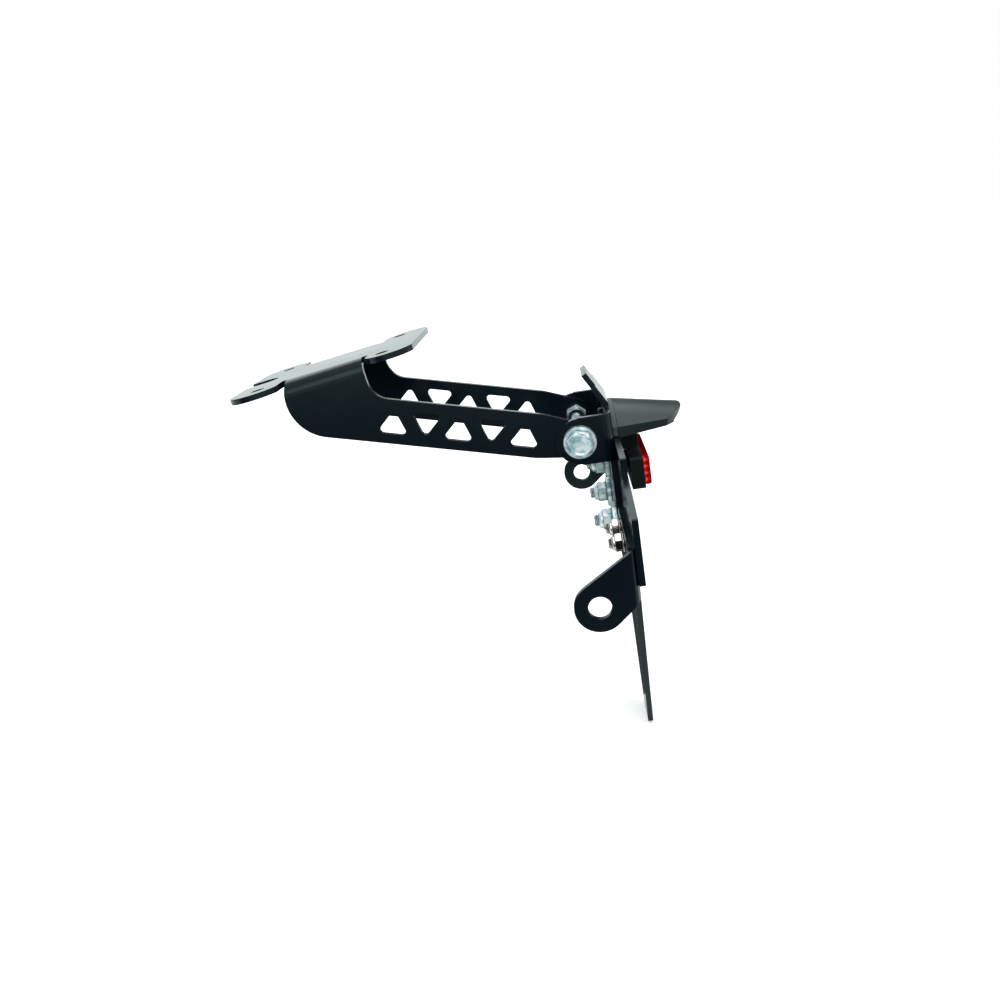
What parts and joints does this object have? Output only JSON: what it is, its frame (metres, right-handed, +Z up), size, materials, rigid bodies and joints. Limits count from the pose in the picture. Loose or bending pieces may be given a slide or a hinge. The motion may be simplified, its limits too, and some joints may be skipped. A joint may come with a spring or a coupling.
{
  "type": "motorcycle tail tidy",
  "caption": "Folded black steel tail tidy: eared mounting plate with two pierced arms, a pivoting number plate carrier, indicator brackets, lamp and red reflector.",
  "frame": {"origin": "centre of the four mounting holes on the upper face of the mounting plate", "axes": "+X to the rear of the vehicle, +Y to its right side, +Z up"},
  "size_m": [0.2345, 0.23, 0.2229],
  "materials": {
    "powder_coat": "satin black powder coat",
    "zinc_steel": "bright zinc plated",
    "stainless_steel": "plain stainless",
    "black_plastic": "matt",
    "grey_plastic": "matt dark grey",
    "clear_plastic": "clear",
    "red_plastic": "clear red, faceted behind",
    "nylon": "dyed nylon"
  },
  "bodies": {
    "arms": {"arm_bracket": "powder_coat", "pivot_bolt_left": "zinc_steel", "pivot_bolt_right": "zinc_steel", "pivot_nut_left": "zinc_steel", "pivot_nut_right": "zinc_steel", "pivot_ring_left": "nylon", "pivot_ring_right": "nylon"},
    "carrier": {"indicator_bracket_left": "powder_coat", "indicator_bracket_right": "powder_coat", "indicator_nut_left_inner": "stainless_steel", "indicator_nut_left_outer": "stainless_steel", "indicator_nut_right_inner": "stainless_steel", "indicator_nut_right_outer": "stainless_steel", "indicator_screw_left_inner": "stainless_steel", "indicator_screw_left_outer": "stainless_steel", "indicator_screw_right_inner": "stainless_steel", "indicator_screw_right_outer": "stainless_steel", "indicator_washer_left_inner": "stainless_steel", "indicator_washer_left_outer": "stainless_steel", "indicator_washer_right_inner": "stainless_steel", "indicator_washer_right_outer": "stainless_steel", "lamp_base": "black_plastic", "lamp_body": "black_plastic", "lamp_hood": "grey_plastic", "lamp_lens": "clear_plastic", "lamp_screw_left": "stainless_steel", "lamp_screw_right": "stainless_steel", "pivot_bracket": "powder_coat", "plate_bolt_left": "zinc_steel", "plate_bolt_right": "zinc_steel", "plate_carrier": "powder_coat", "plate_nut_left": "zinc_steel", "plate_nut_right": "zinc_steel", "plate_washer_left": "zinc_steel", "plate_washer_right": "zinc_steel", "reflector_base": "black_plastic", "reflector_lens": "red_plastic", "reflector_nut": "zinc_steel", "reflector_stud": "zinc_steel", "reflector_washer": "zinc_steel"}
  },
  "joints": [
    {"name": "carrier_pivot", "type": "hinge", "parent": "arms", "child": "carrier", "pos_m": [0.1333, 0, -0.0344], "axis": [0, 1, 0], "range_deg": [-20, 20]}
  ]
}
